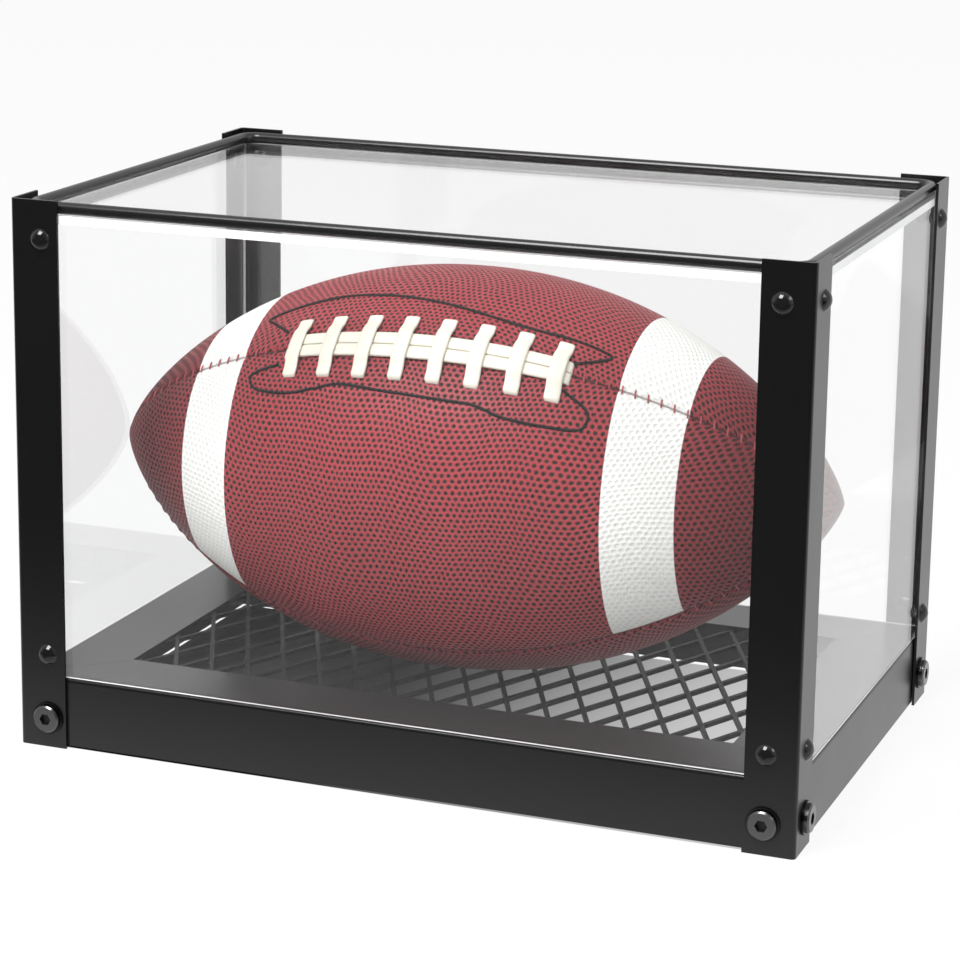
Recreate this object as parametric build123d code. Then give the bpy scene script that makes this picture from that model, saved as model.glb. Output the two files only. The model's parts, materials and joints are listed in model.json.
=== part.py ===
from build123d import *
import os
from math import hypot, pi, sin

os.makedirs("parts", exist_ok=True)

# Frame: origin on the ground under the middle of the case, +X to the right, -Y the front, +Z up.
# Whole case
case_width = 300.0
case_depth = 195.5
case_height = 207.5
fit_gap = 0.3
cut_extra = 1.0

# Corner posts, folded from sheet steel
post_leg = 19.0
post_sheet = 1.0
post_inside_bend = 0.6

# Base rails, folded from sheet steel with an inward flange
rail_sheet = 1.2
rail_outside_bend = 2.0
rail_ground_gap = 1.1
rail_height = 26.6
flange_width = 30.5
mitre_gap = 0.1

# Expanded metal floor under the flanges
mesh_sheet = 1.6
mesh_strand = 1.6
mesh_pitch_x = 15.0
mesh_pitch_y = 32.2
mesh_phase_x = 3.7
mesh_lap = 9.0
mesh_border = 1.5

# Clear panels
panel_sheet = 3.0
panel_joint_gap = 0.2

# Lid: clear top panel with a bent rod rim lying on it
lid_recess = 5.4
rim_rod = 4.5
rim_inset = 1.5
rim_corner = 6.5

# Snap rivets that hold the wall panels to the posts
fastener_inset = 11.7
rivet_low = 36.0
rivet_below_top = 14.5
rivet_head = 8.0
rivet_head_height = 2.2
rivet_shank = 4.5
rivet_hole_gap = 0.15
rivet_bore = 2.6
rivet_pin = 2.4
rivet_back = 6.6
rivet_back_height = 1.4
rivet_pin_reach = 2.6

# Hex socket bolts that hold the posts to the base rails
bolt_level = 11.4
bolt_head = 10.5
bolt_head_height = 1.9
bolt_head_chamfer = 0.6
bolt_key = 4.0
bolt_key_depth = 1.5
bolt_shank = 6.0
bolt_hole_gap = 0.2
bolt_tail = 0.8
washer_rim = 0.9
washer_sheet = 0.8
nut_flats = 10.0
nut_height = 4.0
nut_turn = 30

# Ball: a long round body with its seams and laces
ball_length = 283.0
ball_diameter = 151.6
ball_round = 2.07
ball_point = 0.75
ball_left_gap = 0.4
ball_front_gap = 6.75
ball_yaw = 1.15
ball_seat_gap = 0.3
lace_seam_turn = 42.6
front_quarter_turn = 97.0
leather_sheet = 2.8
tip_hole = 1.2
seam_gap_turn = 0.1
bladder_sheet = 1.2
bladder_gap = 0.3
profile_count = 33
lace_width = 5.5
lace_sheet = 1.7
lace_lift = 0.2
lace_pitch = 14.35
lace_count = 8
cross_lace_length = 28.0
long_lace_width = 4.2
long_lace_split = 1.2
long_lace_overrun = 1.5
long_profile_count = 9
cross_profile_count = 3
valve_turn = 225.0
valve_diameter = 6.0
valve_stem = 3.6
valve_stem_length = 5.0
valve_gap = 0.1
valve_recess = 0.2

# Places worked out from the sizes above
post_inside_x = case_width / 2 - post_sheet
post_inside_y = case_depth / 2 - post_sheet
core_x = post_inside_x - fit_gap
core_y = post_inside_y - fit_gap
rail_top = rail_ground_gap + rail_height
lid_top = case_height - lid_recess
lid_underside = lid_top - panel_sheet
fastener_x = case_width / 2 - fastener_inset
fastener_y = case_depth / 2 - fastener_inset
mesh_top = rail_top - rail_sheet
ball_x = ball_left_gap + ball_length / 2 - (core_x - panel_sheet)
ball_y = ball_front_gap + ball_diameter / 2 - (core_y - panel_sheet)
ball_z = mesh_top + ball_seat_gap + ball_diameter / 2
ball_place = Location((ball_x, ball_y, ball_z), (0, 0, ball_yaw))

nodes = {}


def faces_of_case():
    """The four sides: a name, the half depth of its outer face, the half width across it and its turn."""
    return [
        ("front", case_depth / 2, fastener_x, 0),
        ("right", case_width / 2, fastener_y, 90),
        ("back", case_depth / 2, fastener_x, 180),
        ("left", case_width / 2, fastener_y, 270),
    ]


def fastener_frames(levels):
    """For each side of the case, a frame at each fastener on the posts' outer faces, local +Z outwards."""
    frames = {}
    for name, out, across, turn in faces_of_case():
        frames[name] = []
        for side in (-1, 1):
            for level in levels:
                face = Location((0, 0, 0), (0, 0, turn)) * Location((side * across, -out, level), (90, 0, 0))
                frames[name].append(face)
    return frames


rivet_frames = fastener_frames((rivet_low, case_height - rivet_below_top))
bolt_frames = fastener_frames((bolt_level,))


def drill(solid, frames, diameter, reach):
    """The solid with a round hole at each frame, running reach inwards from the post's outer face."""
    for frame in frames:
        solid = solid - frame * Pos(0, 0, -reach / 2) * Cylinder(diameter / 2, reach + 2 * cut_extra)
    return solid


def every(frames):
    """All the frames of the four sides in one list."""
    return [frame for side in frames.values() for frame in side]


def at_corner(frames, side_x, side_y):
    """The frames that lie on the post at one corner."""
    return [one for one in every(frames) if one.position.X * side_x > 0 and one.position.Y * side_y > 0]


def corner_post(side_x, side_y):
    """An equal angle standing at one corner, its bend rounded inside and outside."""
    outline = Rectangle(post_leg, post_leg, align=(Align.MIN, Align.MIN))
    hollow = Pos(post_sheet, post_sheet) * Rectangle(post_leg, post_leg, align=(Align.MIN, Align.MIN))
    post = extrude(outline - hollow, case_height)
    upright = post.edges().filter_by(Axis.Z)
    inside = upright.sort_by_distance((post_sheet, post_sheet, case_height / 2))[0]
    post = fillet(inside, post_inside_bend)
    outside = post.edges().filter_by(Axis.Z).sort_by_distance((0, 0, case_height / 2))[0]
    post = fillet(outside, post_inside_bend + post_sheet)
    turn = {(-1, -1): 0, (1, -1): 90, (1, 1): 180, (-1, 1): 270}[(side_x, side_y)]
    post = Pos(side_x * case_width / 2, side_y * case_depth / 2) * Rot(Z=turn) * post
    rivets = at_corner(rivet_frames, side_x, side_y)
    bolts = at_corner(bolt_frames, side_x, side_y)
    post = drill(post, rivets, rivet_shank + 2 * rivet_hole_gap, post_sheet)
    return drill(post, bolts, bolt_shank + 2 * bolt_hole_gap, post_sheet)


def base_rail(name, out, half_length, turn):
    """A web with an inward flange along its top, mitred at 45 degrees at both ends."""
    web = Pos(-out, rail_ground_gap) * Rectangle(rail_sheet, rail_height, align=(Align.MIN, Align.MIN))
    flange_low = rail_top - rail_sheet
    flange = Pos(-out, flange_low) * Rectangle(flange_width, rail_sheet, align=(Align.MIN, Align.MIN))
    section = web + flange
    outer = section.vertices().sort_by_distance((-out, rail_top, 0))[0]
    section = fillet(outer, rail_outside_bend)
    inner = section.vertices().sort_by_distance((-out + rail_sheet, flange_low, 0))[0]
    section = fillet(inner, rail_outside_bend - rail_sheet)
    rail = extrude(Plane.YZ * section, half_length, both=True)
    end = half_length - mitre_gap
    short = end - flange_width
    corners = [(-end, -out), (end, -out), (short, flange_width - out), (-short, flange_width - out)]
    rail = rail & extrude(Polygon(*corners, align=None), case_height)
    rail = Rot(Z=turn) * rail
    reach = post_sheet + fit_gap + rail_sheet
    return drill(rail, bolt_frames[name], bolt_shank + 2 * bolt_hole_gap, reach)


def expanded_floor():
    """A flat sheet with slanting rows of diamond holes, the long way of each running front to back."""
    half_x = core_x - flange_width + mesh_lap
    half_y = core_y - flange_width + mesh_lap
    half_long = mesh_pitch_y / 2
    half_short = mesh_pitch_x / 2
    across = half_long * half_short / hypot(half_long, half_short)
    shrink = 1 - mesh_strand / 2 / across
    diamond = [(-half_short, 0), (0, -half_long), (half_short, 0), (0, half_long)]
    hole = Polygon(*[(x * shrink, y * shrink) for x, y in diamond], align=None)
    rows = int(half_y / half_long) + 2
    columns = int(half_x / mesh_pitch_x) + 2
    centres = []
    for row in range(-rows, rows + 1):
        shift = half_short if row % 2 == 0 else 0
        for column in range(-columns, columns + 1):
            x = mesh_phase_x + shift + column * mesh_pitch_x
            y = row * half_long
            if abs(x) < half_x - mesh_border and abs(y) < half_y + half_long * shrink - mesh_border:
                centres.append(Pos(x, y))
    holes = Sketch() + [centre * hole for centre in centres]
    holes = holes & Rectangle(2 * (half_x - mesh_border), 2 * (half_y - mesh_border))
    sheet = Rectangle(2 * half_x, 2 * half_y) - holes
    return Pos(0, 0, mesh_top - mesh_sheet) * extrude(sheet, mesh_sheet)


def wall_panel(name, out, half_width, turn):
    """A flat clear wall, its outer face a fit gap inside the posts, standing on the flanges."""
    height = lid_underside - rail_top
    align = (Align.CENTER, Align.MIN, Align.MIN)
    wall = Rot(Z=turn) * Pos(0, -out, rail_top) * Box(2 * half_width, panel_sheet, height, align=align)
    reach = post_sheet + fit_gap + panel_sheet
    return drill(wall, rivet_frames[name], rivet_shank + 2 * rivet_hole_gap, reach)


def top_panel():
    """The flat clear lid panel, which covers the walls' top edges between the posts."""
    align = (Align.CENTER, Align.CENTER, Align.MIN)
    return Pos(0, 0, lid_underside) * Box(2 * core_x, 2 * core_y, panel_sheet, align=align)


def rod_rim():
    """One rod bent to a rounded rectangle, lying on the lid panel just inside the posts."""
    half_x = post_inside_x - rim_inset - rim_rod / 2
    half_y = post_inside_y - rim_inset - rim_rod / 2
    path = (Pos(0, 0, lid_top + rim_rod / 2) * RectangleRounded(2 * half_x, 2 * half_y, rim_corner)).wire()
    start = Plane(path @ 0, z_dir=path % 0)
    return sweep(start * Circle(rim_rod / 2), path)


def dome(diameter, height):
    """A cap of a sphere with a flat underside at z = 0."""
    radius = (diameter * diameter / 4 + height * height) / (2 * height)
    ball = Pos(0, 0, height - radius) * Sphere(radius)
    keep = Cylinder(diameter, height, align=(Align.CENTER, Align.CENTER, Align.MIN))
    return ball & keep


def rivet_front():
    """Domed head on the post, with a hollow shank that ends flush with the wall's inner face."""
    length = post_sheet + fit_gap + panel_sheet
    shank = Cylinder(rivet_shank / 2, length, align=(Align.CENTER, Align.CENTER, Align.MAX))
    bore = Pos(0, 0, -length) * Cylinder(rivet_bore / 2, 2 * rivet_pin_reach)
    return dome(rivet_head, rivet_head_height) + shank - bore


def rivet_rear():
    """Low round head on the wall's inner face, with a pin pressed up the hollow shank."""
    seat = -(post_sheet + fit_gap + panel_sheet)
    head = Pos(0, 0, seat) * Rot(X=180) * dome(rivet_back, rivet_back_height)
    pin = Pos(0, 0, seat) * Cylinder(rivet_pin / 2, rivet_pin_reach, align=(Align.CENTER, Align.CENTER, Align.MIN))
    return head + pin


def connector_bolt():
    """Flat round head with a hex socket and a chamfered edge, on a plain shank through washer and nut."""
    low = (Align.CENTER, Align.CENTER, Align.MIN)
    head = Cylinder(bolt_head / 2, bolt_head_height, align=low)
    head = chamfer(head.edges().group_by(Axis.Z)[-1], bolt_head_chamfer)
    socket = RegularPolygon(bolt_key / 2, 6, major_radius=False)
    head = head - Pos(0, 0, bolt_head_height - bolt_key_depth) * extrude(socket, bolt_key_depth)
    length = washer_sheet + post_sheet + fit_gap + rail_sheet + nut_height + bolt_tail
    shank = Cylinder(bolt_shank / 2, length, align=(Align.CENTER, Align.CENTER, Align.MAX))
    return Pos(0, 0, washer_sheet) * (head + shank)


def bolt_washer():
    """Flat ring between the bolt's head and the post."""
    low = (Align.CENTER, Align.CENTER, Align.MIN)
    ring = Cylinder(bolt_head / 2 + washer_rim, washer_sheet, align=low)
    return ring - Cylinder(bolt_shank / 2 + bolt_hole_gap, 4 * washer_sheet)


def bolt_nut():
    """Hexagon nut inside the rail's web, with a plain bore of the bolt's shank size."""
    seat = -(post_sheet + fit_gap + rail_sheet + nut_height)
    body = extrude(RegularPolygon(nut_flats / 2, 6, major_radius=False, rotation=nut_turn), nut_height)
    return Pos(0, 0, seat) * (body - Cylinder(bolt_shank / 2, 4 * nut_height))


def place_all(piece, frames):
    """The same piece at every frame, as a group of separate solids."""
    return Compound(children=[frame * piece for frame in every(frames)])


def ball_radius(x, length, diameter):
    """Half the ball's thickness at x along its axis, blunt in the middle and drawn in at the tips."""
    share = min(abs(2 * x / length), 1.0)
    return diameter / 2 * (1 - share ** ball_round) ** ball_point


def tip_reach(length, diameter, radius):
    """How far along the axis the outline comes down to the radius."""
    left = (2 * radius / diameter) ** (1 / ball_point)
    return length / 2 * (1 - left) ** (1 / ball_round)


def outline_points(length, diameter, reach, count):
    """Points of the outline from -reach to reach, closer together near the tips."""
    points = []
    for i in range(count):
        x = reach * sin(pi * (i / (count - 1) - 0.5))
        points.append((x, ball_radius(x, length, diameter)))
    return points


def shell_face(length, diameter, sheet, tip, count):
    """The cut face of a shell: outer outline, inner outline and the two short lines at the tips."""
    inner_length = length - 2 * sheet
    inner_diameter = diameter - 2 * sheet
    outer = outline_points(length, diameter, tip_reach(length, diameter, tip), count)
    inner = outline_points(inner_length, inner_diameter, tip_reach(inner_length, inner_diameter, tip), count)
    edges = [
        Spline(*outer),
        Line(outer[-1], inner[-1]),
        Spline(*reversed(inner)),
        Line(inner[0], outer[0]),
    ]
    return Plane.XZ * make_face(Curve() + edges)


def valve_hole(diameter):
    """A straight hole through the ball's skin at the valve's place."""
    place = Rot(X=lace_seam_turn + valve_turn) * Pos(0, 0, ball_diameter / 2)
    return place * Cylinder(diameter / 2, 6 * leather_sheet)


def leather_panel(start, end):
    """One of four leather quarters, between two long seams at start and end degrees from the laces."""
    face = shell_face(ball_length, ball_diameter, leather_sheet, tip_hole, profile_count)
    panel = revolve(face, Axis.X, revolution_arc=end - start - seam_gap_turn)
    panel = Rot(X=lace_seam_turn + start + seam_gap_turn / 2) * panel
    if start < valve_turn < end:
        panel = panel - valve_hole(valve_diameter + 2 * valve_gap)
    return ball_place * panel


def bladder():
    """The rubber bladder, a closed thin shell inside the leather with the valve's hole through it."""
    inset = leather_sheet + bladder_gap
    outer_length = ball_length - 2 * inset
    outer_diameter = ball_diameter - 2 * inset
    face = shell_face(outer_length, outer_diameter, bladder_sheet, tip_hole / 2, profile_count)
    shell = revolve(face, Axis.X, revolution_arc=360)
    return ball_place * (shell - valve_hole(valve_stem + 2 * valve_gap))


def valve():
    """Round valve flush with the leather, its stem reaching through the bladder."""
    top = ball_diameter / 2 - valve_recess
    high = (Align.CENTER, Align.CENTER, Align.MAX)
    head = Cylinder(valve_diameter / 2, leather_sheet - valve_recess, align=high)
    stem = Cylinder(valve_stem / 2, leather_sheet + valve_stem_length, align=high)
    return ball_place * Rot(X=lace_seam_turn + valve_turn) * Pos(0, 0, top) * (head + stem)


def band_face(x_low, x_high, low, high, count):
    """The cut face of a strip that follows the ball's outline between two heights over it."""
    steps = [x_low + (x_high - x_low) * i / (count - 1) for i in range(count)]
    under = [(x, ball_radius(x, ball_length, ball_diameter) + low) for x in steps]
    over = [(x, ball_radius(x, ball_length, ball_diameter) + high) for x in steps]
    edges = [Spline(*under), Line(under[-1], over[-1]), Spline(*reversed(over)), Line(over[0], under[0])]
    return Plane.XZ * make_face(Curve() + edges)


def turned_band(face, middle, width):
    """A strip of the given width round the ball, its middle at an angle from the lace seam."""
    arc = 360 * width / (pi * ball_diameter)
    return Rot(X=lace_seam_turn + middle - arc / 2) * revolve(face, Axis.X, revolution_arc=arc)


lace_half = lace_pitch * (lace_count - 1) / 2
long_lace_high = lace_lift + lace_sheet
long_lace_offset = 180 * (long_lace_width + long_lace_split) / (pi * ball_diameter)


def long_laces():
    """Two flat laces side by side along the seam, one each side of it."""
    reach = lace_half + lace_width / 2 + long_lace_overrun
    face = band_face(-reach, reach, lace_lift, long_lace_high, long_profile_count)
    bands = [turned_band(face, side * long_lace_offset, long_lace_width) for side in (-1, 1)]
    return Compound(children=[ball_place * band for band in bands])


def cross_laces():
    """Laces across the seam, each bridging the two long ones and coming down to the leather."""
    bars = []
    for i in range(lace_count):
        x = i * lace_pitch - lace_half
        top = long_lace_high + lace_sheet
        face = band_face(x - lace_width / 2, x + lace_width / 2, lace_lift, top, cross_profile_count)
        bar = turned_band(face, 0, cross_lace_length)
        room = band_face(x - lace_width, x + lace_width, 0, long_lace_high + lace_lift, cross_profile_count)
        span = 2 * long_lace_width + long_lace_split + 4 * lace_lift
        bars.append(ball_place * (bar - turned_band(room, 0, span)))
    return Compound(children=bars)


for side_x, name_x in ((-1, "left"), (1, "right")):
    for side_y, name_y in ((-1, "front"), (1, "back")):
        nodes[f"post_{name_y}_{name_x}"] = corner_post(side_x, side_y)

for name, out, _, turn in faces_of_case():
    long_side = name in ("front", "back")
    rail_out = out - post_sheet - fit_gap
    rail_half = core_x if long_side else core_y
    wall_half = core_x if long_side else core_y - panel_sheet - panel_joint_gap
    nodes[f"base_rail_{name}"] = base_rail(name, rail_out, rail_half, turn)
    nodes[f"wall_panel_{name}"] = wall_panel(name, rail_out, wall_half, turn)

nodes["mesh_floor"] = expanded_floor()
nodes["lid_panel"] = top_panel()
nodes["lid_rod_rim"] = rod_rim()
nodes["rivet_domes"] = place_all(rivet_front(), rivet_frames)
nodes["rivet_backs"] = place_all(rivet_rear(), rivet_frames)
nodes["connector_bolts"] = place_all(connector_bolt(), bolt_frames)
nodes["bolt_washers"] = place_all(bolt_washer(), bolt_frames)
nodes["bolt_nuts"] = place_all(bolt_nut(), bolt_frames)

other_turn = (360 - front_quarter_turn) / 3
seam_turns = [0] + [front_quarter_turn + other_turn * i for i in range(4)]
quarters = ("lower_front", "lower_back", "upper_back", "upper_front")
for name, start, end in zip(quarters, seam_turns, seam_turns[1:]):
    nodes[f"ball_leather_{name}"] = leather_panel(start, end)
nodes["ball_bladder"] = bladder()
nodes["ball_valve"] = valve()
nodes["ball_long_laces"] = long_laces()
nodes["ball_cross_laces"] = cross_laces()

for name, shape in nodes.items():
    export_step(shape, f"parts/{name}.step")
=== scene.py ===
import json
import bpy
import numpy as np
from mathutils import Matrix, Vector


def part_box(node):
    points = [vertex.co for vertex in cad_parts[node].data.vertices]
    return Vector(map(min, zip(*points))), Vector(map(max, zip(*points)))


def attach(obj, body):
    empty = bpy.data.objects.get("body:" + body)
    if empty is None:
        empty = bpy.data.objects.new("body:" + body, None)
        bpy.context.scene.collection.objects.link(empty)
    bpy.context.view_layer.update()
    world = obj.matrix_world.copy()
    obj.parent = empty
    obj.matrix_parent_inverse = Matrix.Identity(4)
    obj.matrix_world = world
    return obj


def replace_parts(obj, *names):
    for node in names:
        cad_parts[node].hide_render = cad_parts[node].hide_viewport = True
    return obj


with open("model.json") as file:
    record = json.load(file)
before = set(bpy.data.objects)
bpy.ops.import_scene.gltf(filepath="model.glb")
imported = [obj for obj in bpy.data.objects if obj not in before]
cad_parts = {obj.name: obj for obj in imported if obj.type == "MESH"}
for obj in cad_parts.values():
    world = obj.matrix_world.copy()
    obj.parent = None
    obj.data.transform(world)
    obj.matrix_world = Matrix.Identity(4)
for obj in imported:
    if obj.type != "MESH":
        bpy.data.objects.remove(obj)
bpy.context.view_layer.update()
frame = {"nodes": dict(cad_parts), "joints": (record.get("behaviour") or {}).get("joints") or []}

nodes = frame["nodes"]

# The viewpoint: a long lens past the right front corner, tilted down on the case, with a lens shift
# small enough for views from other sides to stay in the picture.
camera_place = np.array([0.39978, -1.06512, 0.39480])
camera_back = np.radians([21.629, 13.192])
camera_roll = np.radians(0.614)
image_width = 960
lens_pixels = 3089.01
lens_centre = np.array([435.65, 393.60])

turn, tilt = camera_back
back = np.array([np.sin(turn) * np.cos(tilt), -np.cos(turn) * np.cos(tilt), np.sin(tilt)])
right = np.cross(-back, [0, 0, 1])
right /= np.linalg.norm(right)
up = np.cross(back, right)
level_right = np.cos(camera_roll) * right + np.sin(camera_roll) * up
level_up = -np.sin(camera_roll) * right + np.cos(camera_roll) * up
lens = bpy.data.cameras.new("photo_view")
lens.sensor_width = 36.0
lens.lens = lens_pixels / image_width * lens.sensor_width
lens.shift_x = 0.5 - lens_centre[0] / image_width
lens.shift_y = lens_centre[1] / image_width - 0.5
lens.clip_start = 0.01
camera = bpy.data.objects.new("photo_view", lens)
bpy.context.scene.collection.objects.link(camera)
facings = np.stack([level_right, level_up, back], 1)
camera.matrix_world = Matrix([[*row, place] for row, place in zip(facings, camera_place)] + [[0, 0, 0, 1]])
bpy.context.scene.camera = camera

# The studio: a pale floor, a white surround whose reflection is darker on the camera's side, and
# two soft lamps, the stronger one high in front.
bpy.context.scene.view_settings.view_transform = "Standard"
surround_light = 0.32
surround_seen = 0.8
front_seen = 0.04


def link(tree, pairs):
    """Joins outputs to inputs: each pair is (output socket, input socket)."""
    for source, target in pairs:
        tree.links.new(source, target)


def math_node(tree, operation, *values):
    """A Math node's output: each value is a number or an output socket."""
    node = tree.nodes.new("ShaderNodeMath")
    node.operation = operation
    for socket, value in zip(node.inputs, values):
        if isinstance(value, (int, float)):
            socket.default_value = value
        else:
            tree.links.new(value, socket)
    return node.outputs[0]


world = bpy.data.worlds.new("studio")
bpy.context.scene.world = world
world.use_nodes = True
tree = world.node_tree
tree.nodes.clear()
path = tree.nodes.new("ShaderNodeLightPath")
where = tree.nodes.new("ShaderNodeTexCoord")
split = tree.nodes.new("ShaderNodeSeparateXYZ")
glow = tree.nodes.new("ShaderNodeBackground")
glow.inputs["Color"].default_value = (1, 1, 1, 1)
out = tree.nodes.new("ShaderNodeOutputWorld")
tree.links.new(where.outputs["Generated"], split.inputs[0])
facing = tree.nodes.new("ShaderNodeMapRange")
facing.interpolation_type = "SMOOTHSTEP"
for name, value in {"From Min": -0.75, "From Max": -0.1, "To Min": front_seen, "To Max": surround_seen}.items():
    facing.inputs[name].default_value = value
tree.links.new(split.outputs["Y"], facing.inputs["Value"])
direct = math_node(tree, "MAXIMUM", path.outputs["Is Camera Ray"], path.outputs["Is Transmission Ray"])
mirrored = math_node(tree, "MULTIPLY", facing.outputs[0], path.outputs["Is Glossy Ray"])
seen = math_node(tree, "MAXIMUM", direct, mirrored)
plain = math_node(tree, "SUBTRACT", 1.0, math_node(tree, "MAXIMUM", direct, path.outputs["Is Glossy Ray"]))
strength = math_node(tree, "ADD", seen, math_node(tree, "MULTIPLY", plain, surround_light))
link(tree, [(strength, glow.inputs["Strength"]), (glow.outputs[0], out.inputs["Surface"])])


def lamp(name, place, aim, size, power):
    """A square soft lamp at place that points at aim."""
    data = bpy.data.lights.new(name, "AREA")
    data.size = size
    data.energy = power
    one = bpy.data.objects.new(name, data)
    bpy.context.scene.collection.objects.link(one)
    one.location = place
    one.rotation_euler = (Vector(place) - Vector(aim)).to_track_quat("Z", "Y").to_euler()


lamp("key_lamp", (-0.3, -1.0, 1.65), (0, 0, 0.1), 0.9, 43.0)
lamp("right_lamp", (1.7, -0.4, 1.3), (0, 0, 0.1), 0.8, 8.0)

# The floor shows its own white to the camera. Under the base its colour and its glow hold painted shade, darkest on
# the left and lighter to the right, and its reflection fades towards the camera's side.
floor_mesh = bpy.data.meshes.new("studio_floor")
floor_mesh.from_pydata([(-6, -6, 0), (6, -6, 0), (6, 6, 0), (-6, 6, 0)], [], [(0, 1, 2, 3)])
floor = bpy.data.objects.new("studio_floor", floor_mesh)
bpy.context.scene.collection.objects.link(floor)
paint = bpy.data.materials.new("pale_floor")
paint.use_nodes = True
tree = paint.node_tree
shader = tree.nodes["Principled BSDF"]
shader.inputs["Roughness"].default_value = 0.9
shader.inputs["Specular IOR Level"].default_value = 0.1
path = tree.nodes.new("ShaderNodeLightPath")
where = tree.nodes.new("ShaderNodeTexCoord")
split = tree.nodes.new("ShaderNodeSeparateXYZ")
shown = tree.nodes.new("ShaderNodeEmission")
mix = tree.nodes.new("ShaderNodeMixShader")
near = tree.nodes.new("ShaderNodeMapRange")
near.interpolation_type = "SMOOTHSTEP"
for name, value in {"From Min": -0.3, "From Max": -0.05, "To Min": 0.03, "To Max": 1.0}.items():
    near.inputs[name].default_value = value
floor_share = 0.92
base_half = (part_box("base_rail_right")[1][0] - 0.001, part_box("base_rail_back")[1][1] - 0.001)
direct = math_node(tree, "MAXIMUM", path.outputs["Is Camera Ray"], path.outputs["Is Transmission Ray"])
beside = math_node(tree, "GREATER_THAN", math_node(tree, "ABSOLUTE", split.outputs["X"]), base_half[0])
before = math_node(tree, "GREATER_THAN", math_node(tree, "ABSOLUTE", split.outputs["Y"]), base_half[1])
open_floor = math_node(tree, "MAXIMUM", beside, before)
full = math_node(tree, "MAXIMUM", math_node(tree, "MULTIPLY", direct, floor_share), path.outputs["Is Glossy Ray"])
# Painted shade and light under the base: a ramp from 0 on the left to 0.6 on the right that sets the floor's colour
# and its glow there.
painted_light_under_base = tree.nodes.new("ShaderNodeMapRange")
painted_light_under_base.interpolation_type = "SMOOTHSTEP"
for name, value in {"From Min": -0.06, "From Max": 0.12, "To Min": 0.0, "To Max": 0.6}.items():
    painted_light_under_base.inputs[name].default_value = value
lit = math_node(tree, "MAXIMUM", open_floor, painted_light_under_base.outputs[0])
# The floor's colour: 0.93 beside the base, darkened under it as painted shade.
shade = math_node(tree, "MULTIPLY_ADD", lit, 0.83, 0.1)
share = math_node(tree, "MULTIPLY", full, lit)
mirrored = math_node(tree, "MULTIPLY", math_node(tree, "SUBTRACT", 1.0, direct), near.outputs[0])
link(tree, [(where.outputs["Object"], split.inputs[0]), (split.outputs["Y"], near.inputs["Value"]),
            (split.outputs["X"], painted_light_under_base.inputs["Value"]), (shade, shader.inputs["Base Color"]),
            (math_node(tree, "ADD", direct, mirrored), shown.inputs["Strength"]), (share, mix.inputs[0]),
            (shader.outputs[0], mix.inputs[1]), (shown.outputs[0], mix.inputs[2]),
            (mix.outputs[0], tree.nodes["Material Output"].inputs["Surface"])])
floor_mesh.materials.append(paint)


# The frame: posts, rails, rod rim and mesh of folded and bent steel, powder-coated black with a
# fine texture that breaks up the shine.
def group(name, inputs, outputs):
    """An empty shader node group with its named number inputs and its outputs, and its two end nodes."""
    tree = bpy.data.node_groups.new(name, "ShaderNodeTree")
    for label, value in inputs.items():
        socket = tree.interface.new_socket(label, in_out="INPUT", socket_type="NodeSocketFloat")
        socket.default_value = value
    for label, kind in outputs.items():
        tree.interface.new_socket(label, in_out="OUTPUT", socket_type=kind)
    return tree, tree.nodes.new("NodeGroupInput"), tree.nodes.new("NodeGroupOutput")


# Fine grain: noise of a given size in metres as a height, and a slow patchiness from 0 to 1.
grain, grain_in, grain_out = group(
    "fine_grain", {"Size": 0.001, "Patch": 0.05}, {"Height": "NodeSocketFloat", "Patches": "NodeSocketFloat"})
where = grain.nodes.new("ShaderNodeTexCoord")
speckle = grain.nodes.new("ShaderNodeTexNoise")
speckle.inputs["Detail"].default_value = 2.0
patch = grain.nodes.new("ShaderNodeTexNoise")
patch.inputs["Detail"].default_value = 3.0
link(grain, [(where.outputs["Object"], speckle.inputs["Vector"]), (where.outputs["Object"], patch.inputs["Vector"]),
             (math_node(grain, "DIVIDE", 1.0, grain_in.outputs["Size"]), speckle.inputs["Scale"]),
             (math_node(grain, "DIVIDE", 1.0, grain_in.outputs["Patch"]), patch.inputs["Scale"]),
             (speckle.outputs["Fac"], grain_out.inputs["Height"]),
             (patch.outputs["Fac"], grain_out.inputs["Patches"])])


def grained(name, colour, roughness, spread, size, depth, metallic=0.0, specular=0.5):
    """An even colour with a fine raised grain, depth metres high, and a roughness that varies by spread."""
    made = bpy.data.materials.new(name)
    made.use_nodes = True
    tree = made.node_tree
    shader = tree.nodes["Principled BSDF"]
    shader.inputs["Metallic"].default_value = metallic
    shader.inputs["Specular IOR Level"].default_value = specular
    texture = tree.nodes.new("ShaderNodeGroup")
    texture.node_tree = grain
    texture.inputs["Size"].default_value = size
    tint = tree.nodes.new("ShaderNodeMix")
    tint.data_type = "RGBA"
    tint.inputs["A"].default_value = (*[0.82 * c for c in colour], 1)
    tint.inputs["B"].default_value = (*[1.18 * c for c in colour], 1)
    bump = tree.nodes.new("ShaderNodeBump")
    bump.inputs["Distance"].default_value = depth
    shine = math_node(tree, "MULTIPLY_ADD", texture.outputs["Patches"], spread, roughness - spread / 2)
    link(tree, [(texture.outputs["Patches"], tint.inputs["Factor"]),
                (tint.outputs["Result"], shader.inputs["Base Color"]),
                (shine, shader.inputs["Roughness"]), (texture.outputs["Height"], bump.inputs["Height"]),
                (bump.outputs["Normal"], shader.inputs["Normal"])])
    return made


def finish(material, *names):
    """Gives CAD nodes the material."""
    for name in names:
        data = nodes[name].data
        data.materials.clear()
        data.materials.append(material)


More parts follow.
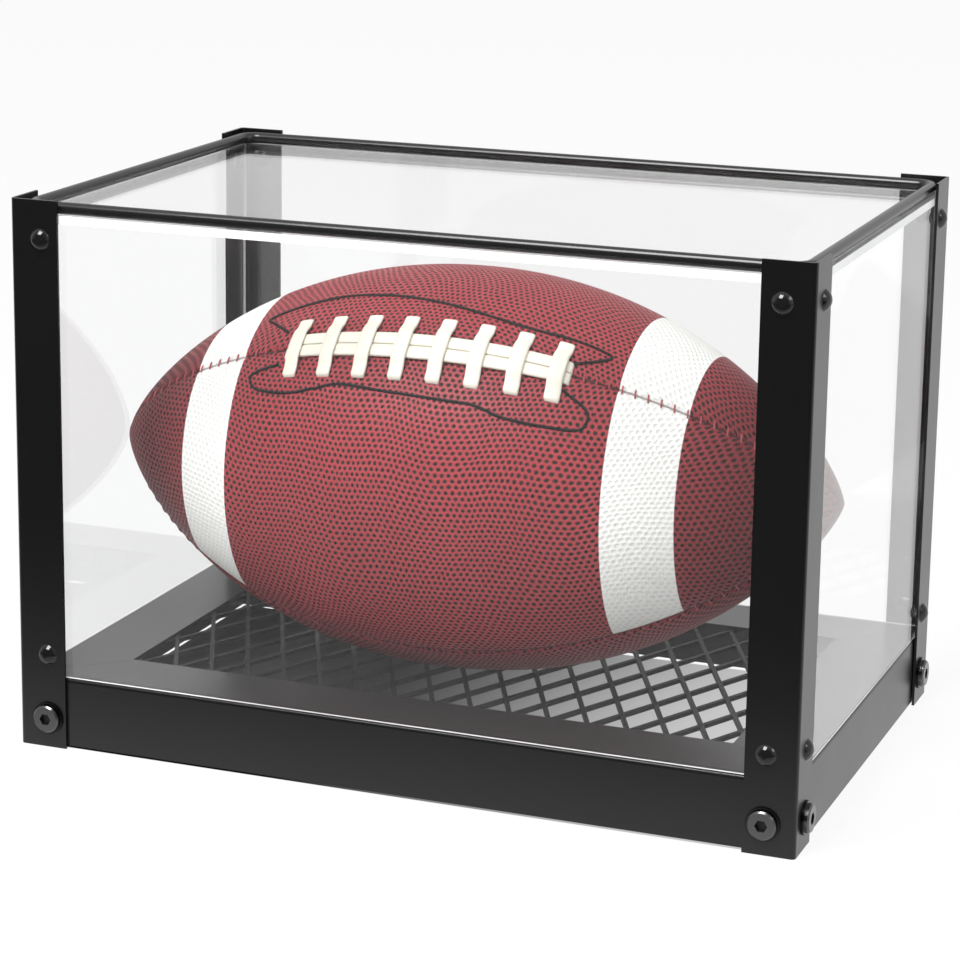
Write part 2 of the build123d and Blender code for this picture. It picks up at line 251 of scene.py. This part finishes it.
powder_coat = grained("powder_coat", (0.006, 0.006, 0.0063), 0.3, 0.08, 0.0009, 0.00003)
posts = [name for name in nodes if name.startswith("post_")]
rails = [name for name in nodes if name.startswith("base_rail_")]
finish(powder_coat, *posts, *rails)
rod_coat = grained("rod_coat", (0.012, 0.012, 0.0125), 0.24, 0.06, 0.0012, 0.00002)
finish(rod_coat, "lid_rod_rim")
mesh_coat = grained("mesh_coat", (0.008, 0.008, 0.0083), 0.5, 0.1, 0.0012, 0.00004, specular=0.14)
finish(mesh_coat, "mesh_floor")

# The clear walls and lid panel: cast acrylic sheet with polished edges. The edge faces are near-white, a painted
# highlight for the bright lines that the sheet's edges show.
acrylic = bpy.data.materials.new("clear_acrylic")
acrylic.use_nodes = True
tree = acrylic.node_tree
shader = tree.nodes["Principled BSDF"]
shader.inputs["Base Color"].default_value = (0.998, 1.0, 1.0, 1)
shader.inputs["Roughness"].default_value = 0.0
shader.inputs["IOR"].default_value = 1.49
shader.inputs["Transmission Weight"].default_value = 1.0
path = tree.nodes.new("ShaderNodeLightPath")
clear = tree.nodes.new("ShaderNodeBsdfTransparent")
mix = tree.nodes.new("ShaderNodeMixShader")
passing = math_node(tree, "MAXIMUM", path.outputs["Is Shadow Ray"], path.outputs["Is Diffuse Ray"])
link(tree, [(passing, mix.inputs[0]), (shader.outputs[0], mix.inputs[1]), (clear.outputs[0], mix.inputs[2]),
            (mix.outputs[0], tree.nodes["Material Output"].inputs["Surface"])])
# Near-white edge colour: a painted highlight for the light that the sheet's edges carry.
edge = grained("edge_painted_highlight", (0.95, 0.96, 0.96), 0.2, 0.1, 0.0006, 0.00001)
for name in [name for name in nodes if name == "lid_panel" or name.startswith("wall_panel_")]:
    finish(acrylic, name)
    data = nodes[name].data
    data.materials.append(edge)
    low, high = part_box(name)
    thin = int(np.argmin(np.array(high) - np.array(low)))
    facing = np.zeros(3 * len(data.polygons))
    data.polygons.foreach_get("normal", facing)
    slots = (np.abs(facing.reshape(-1, 3)[:, thin]) < 0.5).astype(np.int32)
    data.polygons.foreach_set("material_index", slots)

# The fasteners: glossy black snap rivets through the walls, and gunmetal hex socket bolts with
# black washers and plain nuts through the rails.
rivet_plastic = grained("rivet_plastic", (0.008, 0.008, 0.008), 0.09, 0.04, 0.002, 0.00001)
finish(rivet_plastic, "rivet_domes", "rivet_backs")
gunmetal = grained("gunmetal", (0.13, 0.13, 0.132), 0.26, 0.1, 0.0006, 0.00001, metallic=1.0)
finish(gunmetal, "connector_bolts")
# The faces inside each bolt's hex socket are near-black: painted shade in the recess of the gunmetal bolt.
socket_painted_shade = grained("socket_painted_shade", (0.006, 0.006, 0.006), 0.5, 0.1, 0.0006, 0.00001)
bolt_inset = 0.0117
bolt_level = 0.0114
socket_reach = 0.0024
post_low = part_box("post_front_left")[0]
data = nodes["connector_bolts"].data
data.materials.append(socket_painted_shade)
points = np.zeros(3 * len(data.vertices))
data.vertices.foreach_get("co", points)
corner = np.zeros(len(data.loops), np.int32)
data.loops.foreach_get("vertex_index", corner)
corner = np.abs(points.reshape(-1, 3))[corner].reshape(-1, 3, 3)
off_level = corner[..., 2] - bolt_level
off_long = np.hypot(corner[..., 0] + post_low[0] + bolt_inset, off_level).max(1)
off_short = np.hypot(corner[..., 1] + post_low[1] + bolt_inset, off_level).max(1)
in_socket = np.minimum(off_long, off_short) < socket_reach
data.polygons.foreach_set("material_index", in_socket.astype(np.int32))
black_oxide = grained("black_oxide", (0.03, 0.03, 0.03), 0.3, 0.1, 0.0006, 0.00001, metallic=1.0)
finish(black_oxide, "bolt_washers")
plated_nut = grained("plated_nut", (0.45, 0.45, 0.46), 0.35, 0.1, 0.0006, 0.00001, metallic=1.0)
finish(plated_nut, "bolt_nuts")

# The ball's skin: four leather quarters sewn edge to edge, blunt in the middle and drawn in at the
# tips. The two quarters beside the laces carry painted white stripes.
roll = next(joint for joint in frame["joints"] if joint["name"] == "ball_roll")
ball_centre = np.array(roll["pos_m"])
ball_axis = np.array(roll["axis"])
ball_axis /= np.linalg.norm(ball_axis)
ball_up = np.array([0.0, 0.0, 1.0])
ball_front = np.cross(ball_axis, ball_up)
ball_length = 0.283
ball_diameter = 0.1516
ball_round = 2.07
ball_draw = 0.75
lace_turn = 42.6
quarter_turns = (0.0, 97.0, 97.0 + 263 / 3, 97.0 + 526 / 3, 360.0)
skin = 0.0028


def ball_radius(axial):
    """Half the thickness: half the diameter times (1 - |2 x / length| ^ round) ^ draw."""
    share = np.clip(np.abs(2 * axial / ball_length), 0, 1)
    return ball_diameter / 2 * (1 - share ** ball_round) ** ball_draw


def on_ball(axial, degrees, height):
    """Points over the ball: centre + axial * axis + (radius + height) * (cos * up + sin * front), where
    degrees turn from straight up towards the front and height is over the skin."""
    angle = np.radians(degrees)
    out = np.cos(angle)[..., None] * ball_up + np.sin(angle)[..., None] * ball_front
    return ball_centre + axial[..., None] * ball_axis + (ball_radius(axial) + height)[..., None] * out


def skin_over(name, rings, body="ball", material=None):
    """A closed mesh over sleeves of rings, shape (sleeves, rings, points, 3): each ring joins the next, a ring's
    last point joins its first, and each end closes to its ring's mean point."""
    count, along, around, _ = rings.shape
    ends = rings[:, [0, -1]].mean(2)
    points = np.concatenate([rings.reshape(count, -1, 3), ends], 1)
    stride = along * around + 2
    i, j = np.meshgrid(np.arange(along - 1), np.arange(around), indexing="ij")
    after = (j + 1) % around
    near_row, far_row = i * around, (i + 1) * around
    quads = np.stack([near_row + j, far_row + j, far_row + after, near_row + after], -1).reshape(-1, 4)
    edge = np.arange(around)
    following = (edge + 1) % around
    last = (along - 1) * around
    first_cap = np.stack([np.full(around, stride - 2), edge, following], -1)
    last_cap = np.stack([np.full(around, stride - 1), last + following, last + edge], -1)
    offsets = np.arange(count)[:, None, None] * stride
    quads = (quads[None] + offsets).reshape(-1, 4)
    caps = (np.concatenate([first_cap, last_cap])[None] + offsets).reshape(-1, 3)
    verts = points.reshape(-1, 3)
    a, b, c, d = (verts[quads[:, k]] - ball_centre for k in range(4))
    volume = np.einsum("ij,ij->", a, np.cross(b, c)) + np.einsum("ij,ij->", a, np.cross(c, d))
    if volume < 0:
        quads, caps = quads[:, ::-1], caps[:, ::-1]
    data = bpy.data.meshes.new(name)
    data.from_pydata(verts.tolist(), [], quads.tolist() + caps.tolist())
    data.shade_smooth()
    made = bpy.data.objects.new(name, data)
    bpy.context.scene.collection.objects.link(made)
    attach(made, body)
    if material:
        data.materials.append(material)
    return made


# Pebbled leather: pits on a triangular lattice over the sheet's map, whose rows are bent by slow noise and
# shaken by quick noise. The distance is to the nearest centre of two rectangular lattices, half a cell apart.
pebble, pebble_in, pebble_out = group(
    "pebbles", {"Pitch": 0.0023}, {"Pit": "NodeSocketFloat", "Height": "NodeSocketFloat"})


def vector_node(tree, operation, *values):
    """A Vector Math node: each value is a triple or an output socket."""
    node = tree.nodes.new("ShaderNodeVectorMath")
    node.operation = operation
    for socket, value in zip(node.inputs, values):
        if isinstance(value, tuple):
            socket.default_value = value
        else:
            tree.links.new(value, socket)
    return node


sheet_map = pebble.nodes.new("ShaderNodeUVMap")
sheet_map.uv_map = "leather"
pace = pebble.nodes.new("ShaderNodeCombineXYZ")
for axis in "XYZ":
    pebble.links.new(pebble_in.outputs["Pitch"], pace.inputs[axis])
place = vector_node(pebble, "DIVIDE", sheet_map.outputs[0], pace.outputs[0]).outputs[0]
for size, shift in ((15.0, 1.7), (2.4, 0.2)):
    wander = pebble.nodes.new("ShaderNodeTexNoise")
    wander.inputs["Detail"].default_value = 0.0
    wander.inputs["Scale"].default_value = 1 / size
    pebble.links.new(place, wander.inputs["Vector"])
    centred = vector_node(pebble, "SUBTRACT", wander.outputs["Color"], (0.5, 0.5, 0.5)).outputs[0]
    moved = vector_node(pebble, "MULTIPLY", centred, (2 * shift, 2 * shift, 0)).outputs[0]
    place = vector_node(pebble, "ADD", place, moved).outputs[0]
row = 3 ** 0.5
cell = vector_node(pebble, "MULTIPLY", place, (1, 1 / row, 0)).outputs[0]
reaches = []
for shift in ((0.0, 0.0, 0), (0.5, 0.5, 0)):
    inside = vector_node(pebble, "FRACTION", vector_node(pebble, "ADD", cell, shift).outputs[0]).outputs[0]
    offset = vector_node(pebble, "SUBTRACT", inside, (0.5, 0.5, 0)).outputs[0]
    square = vector_node(pebble, "MULTIPLY", offset, (1, row, 0)).outputs[0]
    reaches.append(vector_node(pebble, "LENGTH", square).outputs["Value"])
pit = pebble.nodes.new("ShaderNodeMapRange")
pit.interpolation_type = "SMOOTHSTEP"
for label, value in {"From Min": 0.2, "From Max": 0.4, "To Min": 1.0, "To Max": 0.0}.items():
    pit.inputs[label].default_value = value
link(pebble, [(math_node(pebble, "MINIMUM", *reaches), pit.inputs["Value"]),
              (pit.outputs[0], pebble_out.inputs["Pit"]),
              (math_node(pebble, "SUBTRACT", 1.0, pit.outputs[0]), pebble_out.inputs["Height"])])
stripe_spans = ((-0.0968, -0.0740), (0.0708, 0.0945))


def leather(name, striped):
    """Red-brown leather whose pits are darkened as painted shade, with a dark seam line, and white stripes across it
    where striped is true.
    """
    made = bpy.data.materials.new(name)
    made.use_nodes = True
    tree = made.node_tree
    shader = tree.nodes["Principled BSDF"]
    texture = tree.nodes.new("ShaderNodeGroup")
    texture.node_tree = pebble
    tone = tree.nodes.new("ShaderNodeGroup")
    tone.node_tree = grain
    tone.inputs["Patch"].default_value = 0.03

    def blend(factor, a, b):
        node = tree.nodes.new("ShaderNodeMix")
        node.data_type = "RGBA"
        for label, value in (("Factor", factor), ("A", a), ("B", b)):
            socket = node.inputs[label]
            if isinstance(value, tuple):
                socket.default_value = (*value, 1)
            else:
                tree.links.new(value, socket)
        return node.outputs["Result"]

    axial = tree.nodes.new("ShaderNodeAttribute")
    axial.attribute_name = "axial"
    seam = tree.nodes.new("ShaderNodeAttribute")
    seam.attribute_name = "seam"
    hide = blend(tone.outputs["Patches"], (0.29, 0.033, 0.04), (0.38, 0.046, 0.056))
    # The pits are near-black: painted shade in the pebble pits.
    colour = blend(texture.outputs["Pit"], hide, (0.012, 0.003, 0.003))
    # Towards both tips the leather darkens to a near-black red: painted shade where the drawn-in ends turn away from
    # the lamps. The same ramp also lowers the shine there.
    tip_painted_shade = tree.nodes.new("ShaderNodeMapRange")
    tip_painted_shade.interpolation_type = "SMOOTHSTEP"
    for label, value in {"From Min": 0.07, "From Max": 0.125, "To Min": 0.0, "To Max": 0.62}.items():
        tip_painted_shade.inputs[label].default_value = value
    tree.links.new(math_node(tree, "ABSOLUTE", axial.outputs["Fac"]), tip_painted_shade.inputs["Value"])
    colour = blend(tip_painted_shade.outputs[0], colour, (0.03, 0.004, 0.005))
    gloss = math_node(tree, "MULTIPLY_ADD", tip_painted_shade.outputs[0], -0.3, 0.22)
    sewn_line = math_node(tree, "LESS_THAN", seam.outputs["Fac"], 0.00045)
    colour = blend(sewn_line, colour, (0.06, 0.012, 0.014))
    if striped:
        spans = []
        for low, high in stripe_spans:
            above = math_node(tree, "GREATER_THAN", axial.outputs["Fac"], low)
            below = math_node(tree, "LESS_THAN", axial.outputs["Fac"], high)
            spans.append(math_node(tree, "MULTIPLY", above, below))
        # On the stripes the pits are a little greyer: painted shade in the pits too.
        painted = blend(texture.outputs["Pit"], (0.9, 0.9, 0.875), (0.8, 0.8, 0.77))
        painted = blend(sewn_line, painted, (0.4, 0.37, 0.36))
        colour = blend(math_node(tree, "ADD", *spans), colour, painted)
    bump = tree.nodes.new("ShaderNodeBump")
    bump.inputs["Distance"].default_value = 0.0004
    bump.inputs["Strength"].default_value = 0.7
    shine = math_node(tree, "MULTIPLY_ADD", texture.outputs["Pit"], 0.2, 0.42)
    link(tree, [(colour, shader.inputs["Base Color"]), (shine, shader.inputs["Roughness"]),
                (gloss, shader.inputs["Specular IOR Level"]), (texture.outputs["Height"], bump.inputs["Height"]),
                (bump.outputs["Normal"], shader.inputs["Normal"])])
    return made


along = ball_length / 2 * 0.99995 * np.sin(np.pi / 2 * np.linspace(-1, 1, 221))
outer_share = 0.5 - 0.5 * np.cos(np.pi * np.linspace(0, 1, 61))
inner_share = np.linspace(1, 0, 15)
loop_share = np.concatenate([outer_share, inner_share])
is_inner = np.concatenate([np.zeros(61), np.ones(15)])
plain_leather = leather("plain_leather", False)
striped_leather = leather("striped_leather", True)
for quarter, place in enumerate(("lower_front", "lower_back", "upper_back", "upper_front")):
    # The outside dips into the seam: a narrow groove and a wide soft roll, both falling off with the distance to it.
    axial, share = np.meshgrid(along, loop_share, indexing="ij")
    start, end = quarter_turns[quarter:quarter + 2]
    degrees = lace_turn + start + (end - start) * (0.0006 + 0.9988 * share)
    radius = ball_radius(axial)
    to_seam = radius * np.radians((end - start) * np.minimum(share, 1 - share))
    groove = 0.0009 * np.exp(-(to_seam / 0.0011) ** 2) + 0.0004 * np.exp(-(to_seam / 0.006) ** 2)
    depth = np.where(is_inner > 0, skin, groove * np.clip(radius / 0.012, 0, 1))
    depth = np.minimum(depth, radius * np.where(is_inner > 0, 0.9, 0.3))
    panel = skin_over(f"ball_panel_{place}", on_ball(axial, degrees, -depth)[None],
                      material=striped_leather if quarter in (0, 3) else plain_leather)
    data = panel.data
    ends = [along[0], along[-1]]
    for label, values in (("axial", np.append(axial, ends)), ("seam", np.append(to_seam, [0, 0]))):
        layer = data.attributes.new(label, "FLOAT", "POINT")
        layer.data.foreach_set("value", values.astype(np.float32))
    sideways = radius * np.radians((end - start) * (share - 0.5))
    flat = np.stack([np.append(axial, ends), np.append(sideways, [0, 0])], 1)
    corner = np.zeros(len(data.loops), np.int32)
    data.loops.foreach_get("vertex_index", corner)
    data.uv_layers.new(name="leather").data.foreach_set("uv", flat[corner].astype(np.float32).ravel())
    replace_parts(panel, f"ball_leather_{place}")

# The laces: two flat laces lie side by side along the seam, and eight short ones cross over them
# and go down through the leather on both sides.
lace = grained("lace", (0.8, 0.765, 0.665), 0.45, 0.1, 0.0008, 0.00004)
lace_width = 0.0055
lace_thick = 0.0017
lace_pitch = 0.01435
lace_seats = lace_pitch * (np.arange(8) - 3.5)
cross_lace_length = 0.0280
long_lace_width = 0.0051
long_lace_spacing = 0.0053
lace_arc = 360 * cross_lace_length / (np.pi * ball_diameter)
round_points = np.linspace(0, 2 * np.pi, 24, endpoint=False)
flat_side = np.sign(np.cos(round_points)) * np.abs(np.cos(round_points)) ** 0.45
flat_rise = np.sign(np.sin(round_points)) * np.abs(np.sin(round_points)) ** 0.7

# Across the seam: the height steps up over the long laces by a smooth step and dives under the skin at the ends.
across = np.linspace(-1, 1, 49)
step = np.clip((0.74 - np.abs(across)) / 0.42, 0, 1)
bridge = step * step * (3 - 2 * step)
dive = np.clip((np.abs(across) - 0.9) / 0.1, 0, 1) ** 2
middle = lace_thick * (0.52 + 0.95 * bridge - 0.75 * dive)
narrow = 1 - 0.22 * dive
rings = [on_ball(seat + narrow[:, None] * flat_side * lace_width / 2,
                 lace_turn + lace_arc / 2 * across[:, None] + 0 * flat_side,
                 middle[:, None] + flat_rise * lace_thick / 2) for seat in lace_seats]
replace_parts(skin_over("ball_cross_laces_round", np.stack(rings), material=lace), "ball_cross_laces")

reach = lace_pitch * 3.5 + lace_width / 2 + 0.0015
run = np.linspace(-reach, reach, 121)
dive = np.clip((np.abs(run) - reach + 0.004) / 0.004, 0, 1) ** 2
middle = lace_thick * (0.5 - 0.6 * dive)
half_wide = 180 * long_lace_width / (np.pi * ball_diameter)
offset = 180 * long_lace_spacing / (np.pi * ball_diameter)
rings = [on_ball(run[:, None] + 0 * flat_side, lace_turn + side * offset + half_wide * flat_side + 0 * run[:, None],
                 middle[:, None] + flat_rise * lace_thick / 2) for side in (-1, 1)]
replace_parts(skin_over("ball_long_laces_round", np.stack(rings), material=lace), "ball_long_laces")

# The stitching: a black outline sewn round the lace opening, and short red stitches across every seam.
black_thread = grained("black_thread", (0.006, 0.005, 0.005), 0.6, 0.1, 0.0005, 0.00002, specular=0.12)
red_thread = grained("red_thread", (0.36, 0.05, 0.06), 0.6, 0.1, 0.0005, 0.00002)
outline_upper = [(-57, 36), (-65, 30.5), (-68.8, 26.7), (-58.0, 23.7), (-39.9, 21.7), (-20, 22.6), (0.1, 25.0),
                 (21.6, 28.4), (36.4, 29.9), (52, 29.8), (61.9, 30.6), (65.6, 32.1), (61, 35.6), (53.9, 39.0)]
outline_lower = [(-56.3, 48.5), (-63, 49.8), (-67.9, 51.9), (-65.6, 55.8), (-60.3, 57.5), (-49.6, 58.3),
                 (-38, 56.8), (-28.4, 55.3), (-10.7, 56.6), (8.8, 57.4), (23.7, 57.9), (35.0, 60.3),
                 (50.8, 61.0), (60, 60.4), (63.0, 57.9), (62.1, 53.3), (53.1, 48.7)]


def smooth_line(points, spacing):
    """A Catmull-Rom line through (axial mm, degrees) points, sampled evenly by its length on the ball."""
    p = np.array(points, float)
    p = np.concatenate([[2 * p[0] - p[1]], p, [2 * p[-1] - p[-2]]])
    t = np.linspace(0, 1, 24, endpoint=False)[:, None]
    spans = [0.5 * (2 * b + (c - a) * t + (2 * a - 5 * b + 4 * c - d) * t ** 2 + (3 * b - a - 3 * c + d) * t ** 3)
             for a, b, c, d in zip(p, p[1:], p[2:], p[3:])]
    line = np.concatenate(spans + [p[-2:-1]])
    place = on_ball(line[:, 0] / 1000, line[:, 1], 0 * line[:, 0])
    length = np.append(0, np.cumsum(np.linalg.norm(np.diff(place, axis=0), axis=1)))
    even = np.linspace(0, length[-1], int(length[-1] / spacing))
    return np.stack([np.interp(even, length, line[:, 0]) / 1000, np.interp(even, length, line[:, 1])], 1), even


# A sewn line: a round thread whose thickness swells and narrows once a stitch.
thread_turn = np.linspace(0, 2 * np.pi, 8, endpoint=False)
thread_thin = 0.00046
thread_swell = 0.0002
sewn_pitch = 0.0021
sewn = []
for points in (outline_upper, outline_lower):
    line, length = smooth_line(points, 0.0004)
    centre = on_ball(line[:, 0], line[:, 1], 0 * line[:, 0] + 0.0001)
    outward = on_ball(line[:, 0], line[:, 1], 0 * line[:, 0] + 0.001) - centre
    outward /= np.linalg.norm(outward, axis=1, keepdims=True)
    forward = np.gradient(centre, axis=0)
    side = np.cross(forward, outward)
    side /= np.linalg.norm(side, axis=1, keepdims=True)
    thick = thread_thin + thread_swell * np.abs(np.sin(np.pi * length / sewn_pitch))
    spokes = np.cos(thread_turn)[:, None] * side[:, None] + np.sin(thread_turn)[:, None] * outward[:, None]
    sewn.append(centre[:, None] + thick[:, None, None] * spokes)
for name, ring in zip(("lace_outline_upper", "lace_outline_lower"), sewn):
    skin_over(name, ring[None], material=black_thread)

# A seam stitch: a short thread over the seam whose ends dip into the leather, height by a half sine.
stitch_pitch = 0.0044
stitch_half = 0.0017
stitch_thick = 0.00032
seats = np.arange(-0.126, 0.1261, stitch_pitch)
over = np.linspace(-1, 1, 7)
stitches = []
for quarter, seam_turn in enumerate(lace_turn + np.array(quarter_turns[:4])):
    for seat in seats:
        if quarter == 0 and abs(seat) < reach + 0.002:
            continue
        half_arc = np.degrees(stitch_half / ball_radius(np.array([seat])))
        place = on_ball(seat + 0.0002 * over, seam_turn + half_arc * over, 0.0003 * np.cos(np.pi / 2 * over) - 0.0004)
        foot = on_ball(seat + 0 * over, seam_turn + half_arc * over, 0 * over)
        outward = on_ball(seat + 0 * over, seam_turn + half_arc * over, 0 * over + 0.001) - foot
        outward /= np.linalg.norm(outward, axis=1, keepdims=True)
        quarter_ways = thread_turn[::2, None]
        spokes = np.cos(quarter_ways) * ball_axis + np.sin(quarter_ways) * outward[:, None]
        stitches.append(place[:, None] + stitch_thick * spokes)
skin_over("seam_stitches", np.stack(stitches), material=red_thread)

# Inside the ball: the rubber bladder and its valve, which ends flush in the leather at the back.
rubber = grained("bladder_rubber", (0.03, 0.03, 0.03), 0.6, 0.1, 0.001, 0.00003)
finish(rubber, "ball_bladder", "ball_valve")
